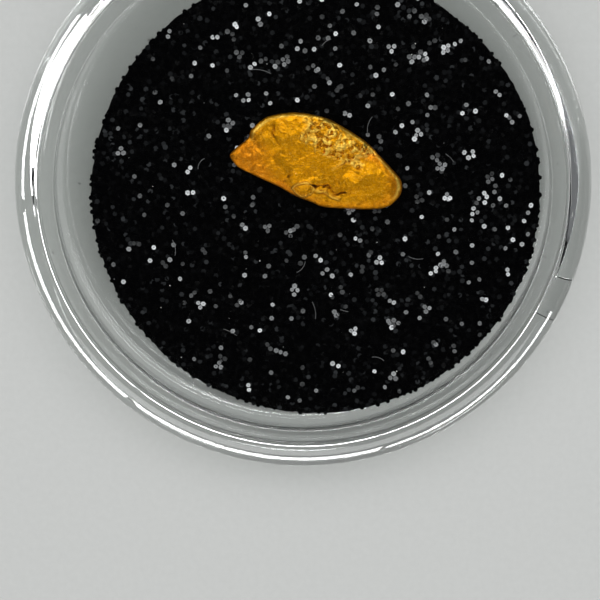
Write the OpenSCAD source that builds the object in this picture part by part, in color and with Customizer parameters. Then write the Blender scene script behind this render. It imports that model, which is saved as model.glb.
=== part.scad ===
// Gold sample in a clear round display capsule.
// A base with an upright collar, a lid whose skirt grips the collar, and a loose insert:
// a foam disc with a coat of glitter, and one gold nugget glued to it.
// Millimetres. +Z is up, and the origin is the centre of the underside.

/* [Capsule] */
// Outer diameter of the closed capsule
capsule_d = 32; // [31.6:0.1:34]
// Height of the closed capsule
capsule_h = 5.8; // [5.6:0.1:7]
// Diameter of the round seat inside the collar
seat_d = 27.5; // [27.3:0.1:27.7]
// Thickness of the base's floor
floor_t = 1.2; // [0.8:0.1:1.2]
// Thickness of the lid's flat window
window_t = 1.2; // [0.8:0.1:1.2]
// Wall thickness of the upright collar
collar_t = 0.93; // [0.8:0.01:1]
// Height of the seam between base and lid
seam_z = 2.9; // [2.4:0.1:3.2]
// Radius of the rounded rim, above and below
rim_r = 1.57; // [1.56:0.01:1.6]
// How far the rounded rim drops from the flat faces
rim_drop = 1.55; // [1.4:0.01:1.55]

/* [Pry notch] */
// Direction of the notch's square end, in degrees about +Z
notch_az = -28; // [-180:1:180]
// Length of the notch round the rim, in degrees
notch_span = 8; // [6:1:20]
// Height of the notch above the seam
notch_h = 0.5; // [0.3:0.05:0.7]
// Depth of the notch into the skirt
notch_depth = 1; // [0.6:0.05:1]

/* [Insert] */
// Diameter of the foam disc
foam_d = 25.4; // [25:0.1:25.4]
// Thickness of the foam disc
foam_t = 2; // [1.5:0.1:2]
// Thickness of the coat that holds the glitter
film_t = 0.12; // [0.05:0.01:0.12]
// How far the disc has slid from the middle of the seat
insert_slip = 0.88; // [0:0.01:0.9]
// Direction in which the disc has slid, in degrees about +Z
insert_az = -36; // [-180:1:180]

/* [Glitter] */
// Number of flakes that stand on the coat
flake_count = 150; // [20:10:200]
// Width of a flake across its corners
flake_w = 0.32; // [0.2:0.02:0.4]
// Thickness of a flake
flake_t = 0.03; // [0.02:0.01:0.05]

/* [Nugget] */
// Height of the nugget's top above its flat underside
nugget_h = 0.92; // [0.6:0.02:1]
// Scale of the nugget's outline, 1 for the full 9.5 mm length
nugget_k = 1; // [0.5:0.05:1]
// Nugget's middle, in X
nugget_x = 0.9; // [-2:0.1:2]
// Nugget's middle, in Y
nugget_y = 1.5; // [-2:0.1:2]
// Diameter of the glue dot under it
glue_d = 2.2; // [1.4:0.1:2.2]
// Thickness of the glue dot
glue_t = 0.1; // [0.08:0.01:0.1]

/* [Hidden] */

$fn = 144;
EPS = 0.01;
CLEAR = [0.88, 0.93, 0.94, 0.35];

// Running gaps between the two shells
skirt_gap = 0.03;
seam_gap = 0.04;
top_gap = 0.03;
// Lead-in chamfers on the collar and in the skirt
lead_in = 0.15;
// Air under the foam disc, so that it slides on the floor without cutting it
floor_gap = 0.02;

r_out = capsule_d / 2;
r_seat = seat_d / 2;
r_collar = r_seat + collar_t;
r_skirt = r_collar + skirt_gap;
z_window = capsule_h - window_t;
z_collar = z_window - top_gap;
z_skirt = seam_z + seam_gap;

insert_x = insert_slip * cos(insert_az);
insert_y = insert_slip * sin(insert_az);
z_foam = floor_t + floor_gap;
z_film = z_foam + foam_t;
z_glitter = z_film + film_t;
z_nugget = z_glitter + glue_t;

// Flakes: a sunflower layout keeps them apart, and each is then shifted and turned at random
SUNFLOWER = 137.508;
edge_margin = 0.8;
flake_field_r = foam_d / 2 - edge_margin;
flake_shift = 0.4;
flake_seed = 41;
// A hexagon looks the same after this turn
HEX_TURN = 60;
shift_x = rands(-flake_shift, flake_shift, flake_count, flake_seed);
shift_y = rands(-flake_shift, flake_shift, flake_count, flake_seed + 1);
turn = rands(0, HEX_TURN, flake_count, flake_seed + 2);
// No flake stands nearer than this to the middle of the glue dot
glue_clear = glue_d / 2 + flake_w;

// Nugget outline, anticlockwise from the blunt right-hand end, about its own middle
NUGGET_OUTLINE = [
    [4.65, -1.25], [4.4, -0.7], [3.3, 0.5], [2.6, 1.2], [1.2, 2.1], [0.2, 2.55], [-1.3, 2.8],
    [-2.7, 2.6], [-3.3, 2.25], [-3.75, 1.8], [-3.9, 1.4], [-4.65, 0.75], [-4.9, 0.4], [-4.7, 0],
    [-4.2, -0.4], [-2.3, -1.3], [-1.3, -1.85], [-0.4, -2.2], [0.5, -2.5], [2.8, -2.6],
    [3.7, -2.5], [4.2, -2.2], [4.55, -1.75]
];
// Low hills and hollows of its face: x, y, spread, height
NUGGET_RELIEF = [
    [0.9, 1.1, 1.1, 0.10], [-2.2, 1.4, 0.9, 0.06], [3.4, -1.4, 0.9, 0.10], [-0.7, -1.3, 0.5, 0.08],
    [2.1, 0, 0.6, -0.13], [0.7, -1.5, 0.5, -0.12], [-2.6, 0.2, 0.8, -0.08], [-1.2, 0.2, 0.8, -0.04]
];
// Steps of the smooth curve between two outline points
SPAN_STEPS = 3;
// Rings of the face and of the underside, as parts of the outline
FACE_RINGS = [0.985, 0.94, 0.86, 0.76, 0.64, 0.5, 0.34, 0.17];
UNDER_RINGS = [0.985, 0.93, 0.82, 0.66, 0.54];
// Height of the widest girdle, as a part of the nugget's height
girdle = 0.42;
// Room left for the hills above the plain dome
relief_room = 0.1;

// A closed smooth curve through the points p (Catmull-Rom), at n steps a span
function wrap(p, i) = p[(i + len(p)) % len(p)];
function span_point(a, b, c, d, t) =
    0.5 * (2 * b + (c - a) * t + (2 * a - 5 * b + 4 * c - d) * t * t
           + (3 * b - a - 3 * c + d) * t * t * t);
function closed_curve(p, n) = [
    for (i = [0:len(p) - 1], k = [0:n - 1])
        span_point(wrap(p, i - 1), p[i], wrap(p, i + 1), wrap(p, i + 2), k / n)
];
// Sum of the round hills of the relief at a point
function relief(x, y, i = 0) = i == len(NUGGET_RELIEF) ? 0
    : NUGGET_RELIEF[i][3] * exp(-(pow(x - NUGGET_RELIEF[i][0], 2) + pow(y - NUGGET_RELIEF[i][1], 2))
                                / pow(NUGGET_RELIEF[i][2], 2)) + relief(x, y, i + 1);
// A dome that is 1 in the middle, nearly flat across, and falls steeply to 0 at the outline
function dome(f) = pow(1 - pow(f, 4), 0.5);

// Half section of the closed capsule's outside: flat faces and a rounded rim
module shell_outline() {
    intersection() {
        square([r_out, capsule_h]);
        union() {
            square([r_out - rim_r, capsule_h]);
            translate([0, rim_drop]) square([r_out, capsule_h - 2 * rim_drop]);
            for (z = [rim_drop, capsule_h - rim_drop]) translate([r_out - rim_r, z]) circle(r = rim_r);
        }
    }
}

// Base: floor, lower half of the rim, and the collar that stands up inside the lid
module capsule_base() {
    color(CLEAR) rotate_extrude() union() {
        difference() {
            intersection() {
                shell_outline();
                square([r_out, seam_z]);
            }
            translate([0, floor_t]) square([r_seat, capsule_h]);
        }
        polygon([
            [r_seat, floor_t], [r_collar, floor_t], [r_collar, z_collar - lead_in],
            [r_collar - lead_in, z_collar], [r_seat, z_collar]
        ]);
    }
}

// Cutter for the pry notch: a slot in the skirt's foot, square at one end and round at the other
module notch_cutter() {
    r_in = r_out - notch_depth;
    r_mid = r_out - notch_depth / 2;
    far = r_out + 1;
    rotate(notch_az) translate([0, 0, z_skirt - EPS]) linear_extrude(notch_h) {
        difference() {
            polygon([[0, 0], [far, 0], far * [cos(notch_span), sin(notch_span)]]);
            circle(r = r_in);
        }
        rotate(notch_span) translate([r_mid, 0]) circle(d = notch_depth);
    }
}

// Lid: flat window, upper half of the rim, and the skirt that grips the collar
module capsule_lid() {
    color(CLEAR) difference() {
        rotate_extrude() difference() {
            intersection() {
                shell_outline();
                translate([0, z_skirt]) square([r_out, capsule_h]);
            }
            square([r_skirt, z_window]);
            polygon([
                [0, z_skirt - EPS], [r_skirt + lead_in, z_skirt - EPS], [r_skirt + lead_in, z_skirt],
                [r_skirt, z_skirt + lead_in], [0, z_skirt + lead_in]
            ]);
        }
        notch_cutter();
    }
}

// Punched disc of black foam, lying where it has slid to
module foam_disc() {
    color([0.05, 0.05, 0.055]) translate([insert_x, insert_y, z_foam])
        cylinder(d = foam_d, h = foam_t);
}

// Black coat on top of the foam
module glitter_film() {
    color([0.02, 0.02, 0.022]) translate([insert_x, insert_y, z_film])
        cylinder(d = foam_d, h = film_t);
}

// Hexagonal flakes that lie on the coat, none of them under the glue
module glitter_flakes() {
    color([0.6, 0.62, 0.65]) for (i = [0:flake_count - 1]) {
        r = flake_field_r * sqrt((i + 0.5) / flake_count);
        x = insert_x + r * cos(i * SUNFLOWER) + shift_x[i];
        y = insert_y + r * sin(i * SUNFLOWER) + shift_y[i];
        if (norm([x - nugget_x, y - nugget_y]) > glue_clear)
            translate([x, y, z_glitter]) rotate(turn[i]) cylinder(d = flake_w, h = flake_t, $fn = 6);
    }
}

// Clear dot that holds the nugget to the coat
module glue_dot() {
    color([0.8, 0.8, 0.75, 0.6]) translate([nugget_x, nugget_y, z_glitter])
        cylinder(d = glue_d, h = glue_t);
}

// Flattened natural nugget: rings of the outline, shrunk towards the middle and raised by the dome
module gold_nugget() {
    outline = nugget_k * closed_curve(NUGGET_OUTLINE, SPAN_STEPS);
    n = len(outline);
    z_girdle = nugget_h * girdle;
    face_h = nugget_h - z_girdle - relief_room;
    flat_part = UNDER_RINGS[len(UNDER_RINGS) - 1];
    under = [for (j = [len(UNDER_RINGS) - 1:-1:0]) let (f = UNDER_RINGS[j])
        [for (p = outline) [f * p[0], f * p[1], z_girdle * (1 - dome(f) / dome(flat_part))]]];
    rim = [[for (p = outline) [p[0], p[1], z_girdle]]];
    face = [for (f = FACE_RINGS)
        [for (p = outline) [f * p[0], f * p[1],
            z_girdle + face_h * dome(f) + dome(f) * relief(f * p[0] / nugget_k, f * p[1] / nugget_k)]]];
    rings = concat(under, rim, face);
    m = len(rings);
    points = concat([for (ring = rings, p = ring) p],
                    [[0, 0, 0], [0, 0, z_girdle + face_h + relief(0, 0)]]);
    sides = [for (j = [0:m - 2], i = [0:n - 1], half = [0, 1]) let (k = (i + 1) % n)
        half == 0 ? [j * n + i, (j + 1) * n + i, (j + 1) * n + k]
                  : [j * n + i, (j + 1) * n + k, j * n + k]];
    bottom = [for (i = [0:n - 1]) [m * n, i, (i + 1) % n]];
    top = [for (i = [0:n - 1]) [m * n + 1, (m - 1) * n + (i + 1) % n, (m - 1) * n + i]];
    color([0.83, 0.62, 0.12]) translate([nugget_x, nugget_y, z_nugget])
        polyhedron(points, concat(bottom, sides, top));
}

capsule_base();
capsule_lid();
foam_disc();
glitter_film();
glitter_flakes();
glue_dot();
gold_nugget();
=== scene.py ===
"""Gold sample in a clear round display capsule: the finished looks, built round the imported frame.

Everything is in metres, in the frame's own axes. Each operator makes one piece or one group of like
pieces, and the panel in the sidebar lists them.
"""

import math  # noqa: E402

import bpy  # noqa: E402
import numpy as np  # noqa: E402
from bpy.props import FloatProperty, FloatVectorProperty, IntProperty, PointerProperty  # noqa: E402
from mathutils import Matrix, Vector  # noqa: E402


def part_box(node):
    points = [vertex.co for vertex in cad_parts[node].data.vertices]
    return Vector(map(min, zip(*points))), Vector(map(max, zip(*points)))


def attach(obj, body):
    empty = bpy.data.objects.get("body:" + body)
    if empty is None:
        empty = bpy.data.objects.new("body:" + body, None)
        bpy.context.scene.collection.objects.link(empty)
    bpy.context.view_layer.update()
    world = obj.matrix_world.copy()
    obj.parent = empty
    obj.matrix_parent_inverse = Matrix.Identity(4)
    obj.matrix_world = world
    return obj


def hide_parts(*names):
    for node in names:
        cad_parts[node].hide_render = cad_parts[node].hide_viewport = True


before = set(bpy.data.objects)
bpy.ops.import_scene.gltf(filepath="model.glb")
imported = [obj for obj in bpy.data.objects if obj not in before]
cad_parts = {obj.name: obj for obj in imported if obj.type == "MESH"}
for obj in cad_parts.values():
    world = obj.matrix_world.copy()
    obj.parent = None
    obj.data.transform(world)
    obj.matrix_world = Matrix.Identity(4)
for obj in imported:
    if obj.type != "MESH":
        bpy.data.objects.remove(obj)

bl_info = {
    "name": "Display capsule with gold nugget",
    "version": (1, 0, 0),
    "blender": (4, 5, 0),
    "location": "3D View > Sidebar > Capsule",
    "description": "Clear two-part capsule, glitter foam disc and natural gold nugget",
    "category": "Object",
}

MM = 0.001
TURN = 2 * math.pi
GOLDEN_ANGLE = math.radians(137.508)


def node_box(node):
    """Lowest and highest corner of a CAD node, as arrays."""
    low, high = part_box(node)
    return np.array(low), np.array(high)


BASE_LOW, BASE_HIGH = node_box("capsule_base")
LID_LOW, LID_HIGH = node_box("capsule_lid")
FOAM_LOW, FOAM_HIGH = node_box("foam_disc")
COAT_LOW, COAT_HIGH = node_box("glitter_film")
GLUE_LOW, GLUE_HIGH = node_box("glue_dot")
NUGGET_LOW, NUGGET_HIGH = node_box("gold_nugget")
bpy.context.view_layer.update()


# ------------------------------------------------------------------------------------ settings


def length(name, description, millimetres):
    """A length that the user can change, with its default in millimetres."""
    return FloatProperty(name=name, description=description, default=millimetres * MM, unit="LENGTH")


def colour(name, description, default):
    """A colour that the user can change, as linear red, green and blue."""
    return FloatVectorProperty(name=name, description=description, subtype="COLOR", size=3,
                               min=0, max=1, default=default)


class CapsuleSettings(bpy.types.PropertyGroup):
    """Sizes and finish of the two clear shells"""

    outer_radius: FloatProperty(
        name="Outer radius", description="Radius of the closed capsule",
        default=float(LID_HIGH[0]), unit="LENGTH")
    rim_radius: length("Rim radius", "Radius of the rounded rim", 1.57)
    rim_drop: length("Rim drop", "Height of the rounded rim", 1.55)
    seat_radius: length("Seat radius", "Inside of the collar", 13.75)
    collar_wall: length("Collar wall", "Thickness of the collar", 0.93)
    skirt_gap: length("Skirt gap", "Air between collar and skirt", 0.03)
    seam_gap: length("Seam gap", "Air at the seam", 0.04)
    floor_thickness: length("Floor", "Thickness of the base's floor", 1.2)
    window_thickness: length("Window", "Thickness of the lid's window", 1.2)
    soft_edge: length("Soft edge", "Radius left by the mould on every sharp edge", 0.06)
    wave: length("Rim wave", "Height of the slow waves that moulding leaves in the rim", 0.006)
    notch_start: FloatProperty(
        name="Notch start", description="Direction of the pry notch's square end",
        default=math.radians(-28), subtype="ANGLE")
    notch_span: FloatProperty(
        name="Notch span", description="Length of the pry notch round the rim",
        default=math.radians(8), subtype="ANGLE")
    notch_depth: length("Notch depth", "Depth of the pry notch into the skirt", 1.0)
    notch_height: length("Notch height", "Height of the pry notch", 0.5)
    tint: colour("Tint", "Colour of the clear plastic", (0.975, 0.985, 0.98))
    ior: FloatProperty(
        name="IOR", description="Bending power of the plastic", default=1.56)
    sectors: IntProperty(
        name="Sectors", description="Sides of each turned shell", default=600)


class InsertSettings(bpy.types.PropertyGroup):
    """Foam disc and its coat of glitter"""

    edge_wander: length("Edge wander", "How unevenly the disc is cut", 0.10)
    cell_depth: length("Cell depth", "Depth of the foam's open cells", 0.05)
    flake_width: length("Flake width", "Width of a flake across its corners", 0.29)
    flake_thickness: length("Flake thickness", "Thickness of a flake", 0.018)
    dark_flakes: IntProperty(
        name="Dark flakes", default=9800,
        description="Number of black flakes laid, before the edge is trimmed")
    bright_flakes: IntProperty(
        name="Bright flakes", default=460,
        description="Number of bright flakes laid, before the edge is trimmed")
    foam_colour: colour("Foam", "Colour of the foam", (0.005, 0.005, 0.0055))
    flake_colour: colour("Dark flake", "Colour of the black flakes", (0.0006, 0.0006, 0.0008))
    # Painted glint: the pale colour the brightest flakes are painted in, standing for the lamps' reflection
    bright_colour: colour("Bright flake", "Colour of the brightest flakes", (0.80, 0.81, 0.84))


class NuggetSettings(bpy.types.PropertyGroup):
    """The natural gold nugget"""

    gold: colour("Gold", "Main colour of the gold", (0.80, 0.335, 0.002))
    # Paler gold: the painted highlight on the nugget's crust crests, ridges and upper-left rim, and its fine
    # speckles
    pale_gold: colour("Pale gold", "Colour of rubbed ridges", (1.0, 0.66, 0.11))
    copper_gold: colour("Copper gold", "Colour of the reddish tip", (0.66, 0.20, 0.006))
    deep_gold: colour("Deep gold", "Colour of the gold's fine hollows", (0.36, 0.11, 0.001))
    # Painted shade: the dark colour laid in the nugget's cracks, the crust's pits and towards its underside
    soil: colour("Soil", "Colour of the dirt left in cracks", (0.10, 0.035, 0.006))
    girdle: FloatProperty(
        name="Girdle", description="Height of the widest line, as a part of the thickness",
        default=0.42, min=0.1, max=0.9)
    relief: FloatProperty(
        name="Relief", description="Strength of the folds and pits", default=1.0, min=0, max=2)


class StageSettings(bpy.types.PropertyGroup):
    """Floor, lights and camera"""

    floor_colour: colour("Floor", "Colour of the floor", (0.50, 0.51, 0.50))
    lens: FloatProperty(name="Lens", description="Focal length in millimetres", default=111.5)
    camera_place: FloatVectorProperty(
        name="Camera", description="Place of the camera", subtype="TRANSLATION", size=3,
        default=(2.1 * MM, 17.3 * MM, 106.2 * MM))
    camera_aim: FloatVectorProperty(
        name="Aim", description="Point that the camera looks at", subtype="TRANSLATION", size=3,
        default=(-0.12 * MM, -6.24 * MM, 4.5 * MM))


class DisplayCapsuleSettings(bpy.types.PropertyGroup):
    """All settings of the display capsule"""

    capsule: PointerProperty(type=CapsuleSettings)
    insert: PointerProperty(type=InsertSettings)
    nugget: PointerProperty(type=NuggetSettings)
    stage: PointerProperty(type=StageSettings)


# ------------------------------------------------------------------------- number fields


def smooth_step(x):
    """0 below 0, 1 above 1, and 3x^2 - 2x^3 between."""
    x = np.clip(x, 0, 1)
    return x * x * (3 - 2 * x)


def lattice_noise(x, y, cell, seed):
    """Value noise from 0 to 1: random values on a square lattice of side cell, blended smoothly."""
    table = np.random.default_rng(seed).random((256, 256))
    u, v = x / cell, y / cell
    i, j = np.floor(u).astype(int), np.floor(v).astype(int)
    a, b = smooth_step(u - i), smooth_step(v - j)
    i, j, i1, j1 = i % 256, j % 256, (i + 1) % 256, (j + 1) % 256
    near = table[i, j] * (1 - a) + table[i1, j] * a
    far = table[i, j1] * (1 - a) + table[i1, j1] * a
    return near * (1 - b) + far * b


def fractal(x, y, cell, seed, octaves=3):
    """Sum of lattice noises, each at half the cell and half the weight of the last, from 0 to 1."""
    total = weight = 0.0
    for k in range(octaves):
        total = total + lattice_noise(x, y, cell / 2**k, seed + k) / 2**k
        weight += 1 / 2**k
    return total / weight


def creases(x, y, cell, seed, octaves=2):
    """Ridged noise: 1 along thin wandering crests where the noise crosses its middle, 0 far off."""
    total = weight = 0.0
    for k in range(octaves):
        n = fractal(x, y, cell / 2**k, seed + 10 * k, 2)
        total = total + np.clip(1 - 5 * np.abs(n - 0.5), 0, 1) / 2**k
        weight += 1 / 2**k
    return total / weight


def bell(distance, width):
    """A smooth hump: exp of minus the squared distance over the squared width."""
    return np.exp(-((distance / width) ** 2))


def distance_to_path(x, y, path):
    """Distance from each point to the nearest straight piece of a path of (x, y) points."""
    nearest = np.full(np.shape(x), 1e9)
    for (ax, ay), (bx, by) in zip(path, path[1:]):
        dx, dy = bx - ax, by - ay
        t = np.clip(((x - ax) * dx + (y - ay) * dy) / (dx * dx + dy * dy), 0, 1)
        nearest = np.minimum(nearest, np.hypot(x - ax - t * dx, y - ay - t * dy))
    return nearest


def closed_curve(points, count):
    """count points of the closed Catmull-Rom curve through the given points, evenly in parameter."""
    p = np.asarray(points, float)
    s = np.arange(count) * len(p) / count
    i = np.floor(s).astype(int)
    t = (s - i)[:, None]
    a, b, c, d = (p[(i + k) % len(p)] for k in (-1, 0, 1, 2))
    return 0.5 * (2 * b + (c - a) * t + (2 * a - 5 * b + 4 * c - d) * t**2
                  + (3 * b - a - 3 * c + d) * t**3)


# ------------------------------------------------------------------------- surfaces


def new_piece(name, points, faces):
    """An object at the origin from an array of points and a list of face arrays."""
    mesh = bpy.data.meshes.new(name)
    mesh.from_pydata(points.tolist(), [], [f for group in faces for f in group.tolist()])
    mesh.update()
    piece = bpy.data.objects.new(name, mesh)
    bpy.context.scene.collection.objects.link(piece)
    return piece


def volume(points, faces):
    """Signed volume inside the faces, by tetrahedra from the origin."""
    total = 0.0
    for group in faces:
        a = points[group[:, 0]]
        for k in range(1, group.shape[1] - 1):
            total += np.einsum("ij,ij->", a, np.cross(points[group[:, k]], points[group[:, k + 1]]))
    return total / 6


def outward(points, faces):
    """The faces, turned over if they enclose a negative volume, so that they point outwards."""
    return faces if volume(points, faces) > 0 else [group[:, ::-1] for group in faces]


def ring_faces(m, n):
    """Faces of m closed rings of n points, with a pole point before the first and after the last."""
    i, j = np.meshgrid(np.arange(m - 1), np.arange(n), indexing="ij")
    k = (j + 1) % n
    quads = np.stack([i * n + j, i * n + k, (i + 1) * n + k, (i + 1) * n + j], -1).reshape(-1, 4)
    j, k = np.arange(n), (np.arange(n) + 1) % n
    first = np.stack([np.full(n, m * n), k, j], -1)
    last = np.stack([np.full(n, m * n + 1), (m - 1) * n + j, (m - 1) * n + k], -1)
    return [quads, first, last]


def ringed_piece(name, rings, pole_a, pole_b):
    """A closed piece from an array of rings (ring, sector, xyz) and the two poles that close it."""
    m, n = rings.shape[:2]
    points = np.concatenate([rings.reshape(-1, 3), [pole_a, pole_b]])
    return new_piece(name, points, outward(points, ring_faces(m, n)))


def shell_piece(name, profile, rings):
    """A turned shell closed at the two ends of its half section, which lie on the axis."""
    return ringed_piece(name, rings, (0, 0, profile[0][1]), (0, 0, profile[-1][1]))


def shade(piece, sharp=30):
    """Smooth shading, with edges sharper than an angle in degrees kept crisp."""
    piece.data.polygons.foreach_set("use_smooth", np.ones(len(piece.data.polygons), bool))
    piece.data.set_sharp_from_angle(angle=math.radians(sharp))


def point_value(piece, name, values):
    """Stores one number at each point, for a material to read."""
    layer = piece.data.attributes.new(name, "FLOAT", "POINT")
    layer.data.foreach_set("value", np.asarray(values, np.float32).ravel())


def repeated(name, template, faces, places, turns, scales):
    """One mesh of many copies: each copy is the template times its scale, turned by its matrix, moved."""
    shaped = template[None] * scales[:, None, :]
    points = np.einsum("kij,kvj->kvi", turns, shaped) + places[:, None, :]
    step = np.arange(len(places))[:, None, None] * len(template)
    groups = [(f[None] + step).reshape(-1, f.shape[1]) for f in faces]
    return new_piece(name, points.reshape(-1, 3), groups)


def turns_of(yaw, lean, lean_way):
    """Rotation matrices: a yaw about Z, then a lean by an angle towards a compass direction."""
    cy, sy = np.cos(yaw), np.sin(yaw)
    zero, one = np.zeros_like(yaw), np.ones_like(yaw)
    spin = np.stack([cy, -sy, zero, sy, cy, zero, zero, zero, one], -1).reshape(-1, 3, 3)
    ax, ay = -np.sin(lean_way), np.cos(lean_way)
    c, s = np.cos(lean), np.sin(lean)
    tip = np.stack([c + ax * ax * (1 - c), ax * ay * (1 - c), ay * s,
                    ax * ay * (1 - c), c + ay * ay * (1 - c), -ax * s,
                    -ay * s, ax * s, c], -1).reshape(-1, 3, 3)
    return tip @ spin


def tube_points(path, radius, sides):
    """Rings of a thin tube: at each path point a circle across the path, in a frame kept from twisting."""
    path = np.asarray(path, float)
    ahead = np.gradient(path, axis=0)
    ahead /= np.linalg.norm(ahead, axis=1)[:, None]
    side = np.cross(ahead, [0.0, 0.0, 1.0])
    side /= np.linalg.norm(side, axis=1)[:, None]
    up = np.cross(side, ahead)
    a = np.arange(sides) * TURN / sides
    return path[:, None] + radius * (np.cos(a)[None, :, None] * side[:, None]
                                     + np.sin(a)[None, :, None] * up[:, None])


# ------------------------------------------------------------------------- turned shells


def rounded_profile(corners, steps=5, support=0.02 * MM):
    """Half section through corners (r, z, radius), each rounded by an arc with a point either side."""
    points = [np.array(corners[0][:2])]
    for before, corner, after in zip(corners, corners[1:], corners[2:]):
        here, radius = np.array(corner[:2]), corner[2]
        back, ahead = np.array(before[:2]) - here, np.array(after[:2]) - here
        back, ahead = back / np.linalg.norm(back), ahead / np.linalg.norm(ahead)
        if radius == 0:
            points.append(here)
            continue
        half = 0.5 * math.acos(float(np.clip(back @ ahead, -1, 1)))
        reach = radius / math.tan(half)
        centre = here + (back + ahead) / np.linalg.norm(back + ahead) * radius / math.sin(half)
        a0 = math.atan2(*(here + back * reach - centre)[::-1])
        a1 = math.atan2(*(here + ahead * reach - centre)[::-1])
        sweep = (a1 - a0 + math.pi) % TURN - math.pi
        angles = a0 + sweep * np.linspace(0, 1, steps + 1)
        points.append(here + back * (reach + support))
        points += [centre + radius * np.array([math.cos(a), math.sin(a)]) for a in angles]
        points.append(here + ahead * (reach + support))
    points.append(np.array(corners[-1][:2]))
    return np.array(points)


def rim_arc(s, z_centre, upwards, steps=36):
    """Quarter-round of the rim, from the crease at the flat face to the upright outer wall."""
    start = math.asin(s.rim_drop / s.rim_radius)
    angles = np.linspace(start, 0, steps + 1)
    r = s.outer_radius - s.rim_radius + s.rim_radius * np.cos(angles)
    return np.stack([r, z_centre + (1 if upwards else -1) * s.rim_radius * np.sin(angles)], -1)


def fine_stretch(profile, longest, r_low, z_high):
    """Splits the straight steps beyond radius r_low and below z_high so that none is over longest."""
    out = [profile[0]]
    for a, b in zip(profile, profile[1:]):
        inside = min(a[0], b[0]) > r_low and max(a[1], b[1]) < z_high
        n = max(1, math.ceil(np.linalg.norm(b - a) / longest)) if inside else 1
        out += [a + (b - a) * k / n for k in range(1, n + 1)]
    return np.array(out)


def turned(profile, azimuths):
    """Rings of the surface that a half section (r, z) sweeps about +Z."""
    r, z = profile[:, 0][:, None], profile[:, 1][:, None]
    return np.stack(np.broadcast_arrays(r * np.cos(azimuths), r * np.sin(azimuths), z), -1)


def rim_waves(rings, s, seed):
    """Moves the outer rim in and out by slow waves that run round it."""
    r = np.hypot(rings[..., 0], rings[..., 1])
    a = np.arctan2(rings[..., 1], rings[..., 0])
    rng = np.random.default_rng(seed)
    swing = sum(np.cos(k * a + rng.random() * TURN) / k**0.7 for k in (2, 3, 5, 7, 9, 14, 19, 26))
    near_rim = smooth_step((r - s.seat_radius - s.collar_wall - 0.2 * MM) / (0.6 * MM))
    change = 1 + s.wave * (swing - 2.2) * 0.4 * near_rim / np.maximum(r, MM)
    rings[..., :2] *= change[..., None]
    return rings


def base_profile(s):
    """Half section of the base: underside, rounded rim, seam ledge, collar, seat wall and floor."""
    seam = float(LID_LOW[2]) - s.seam_gap
    collar = s.seat_radius + s.collar_wall
    top = float(BASE_HIGH[2])
    e = s.soft_edge
    under = np.array([[0, 0], [s.outer_radius - s.rim_radius, 0.0]])
    rest = rounded_profile([
        (s.outer_radius, s.rim_drop, 0), (s.outer_radius, seam, e), (collar, seam, e),
        (collar, top - 0.15 * MM, 0.4 * e), (collar - 0.15 * MM, top, 0.4 * e),
        (s.seat_radius, top, e), (s.seat_radius, s.floor_thickness, 2.5 * e), (0, s.floor_thickness, 0),
    ])
    return np.concatenate([under, rim_arc(s, s.rim_drop, False), rest[1:]])


def lid_profile(s):
    """Half section of the lid: window, rounded rim, skirt with its foot, and the window's underside."""
    top, foot = float(LID_HIGH[2]), float(LID_LOW[2])
    skirt = s.seat_radius + s.collar_wall + s.skirt_gap
    e = s.soft_edge
    window = np.array([[0, top], [s.outer_radius - s.rim_radius, top]])
    rest = rounded_profile([
        (s.outer_radius, top - s.rim_drop, 0), (s.outer_radius, foot, e),
        (skirt + 0.15 * MM, foot, 0.4 * e), (skirt, foot + 0.15 * MM, 0.4 * e),
        (skirt, top - s.window_thickness, 1.5 * e), (0, top - s.window_thickness, 0),
    ])
    return np.concatenate([window, rim_arc(s, top - s.rim_drop, True), rest[1:]])


def notch_mask(r, a, s):
    """1 inside the pry notch's plan, 0 outside: a ring sector whose far end is a half circle."""
    end = s.notch_start + s.notch_span
    r_in, r_mid = s.outer_radius - s.notch_depth, s.outer_radius - s.notch_depth / 2
    sector = np.minimum(np.minimum((a - s.notch_start) * r, (end - a) * r), r - r_in)
    round_end = s.notch_depth / 2 - np.hypot((a - end) * r, r - r_mid)
    return smooth_step(np.maximum(sector, round_end) / (0.03 * MM) + 0.5)


def lid_azimuths(s):
    """Even directions round the lid, with finer ones at the two ends of the pry notch."""
    end = s.notch_start + s.notch_span
    even = np.arange(s.sectors) * TURN / s.sectors - math.pi
    fine = np.concatenate([s.notch_start + np.radians(np.arange(-0.4, 0.45, 0.1)),
                           end + np.radians(np.arange(-0.4, 2.2, 0.12))])
    return np.unique(np.round(np.concatenate([even, fine]), 6))


# ------------------------------------------------------------------------- materials


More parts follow.
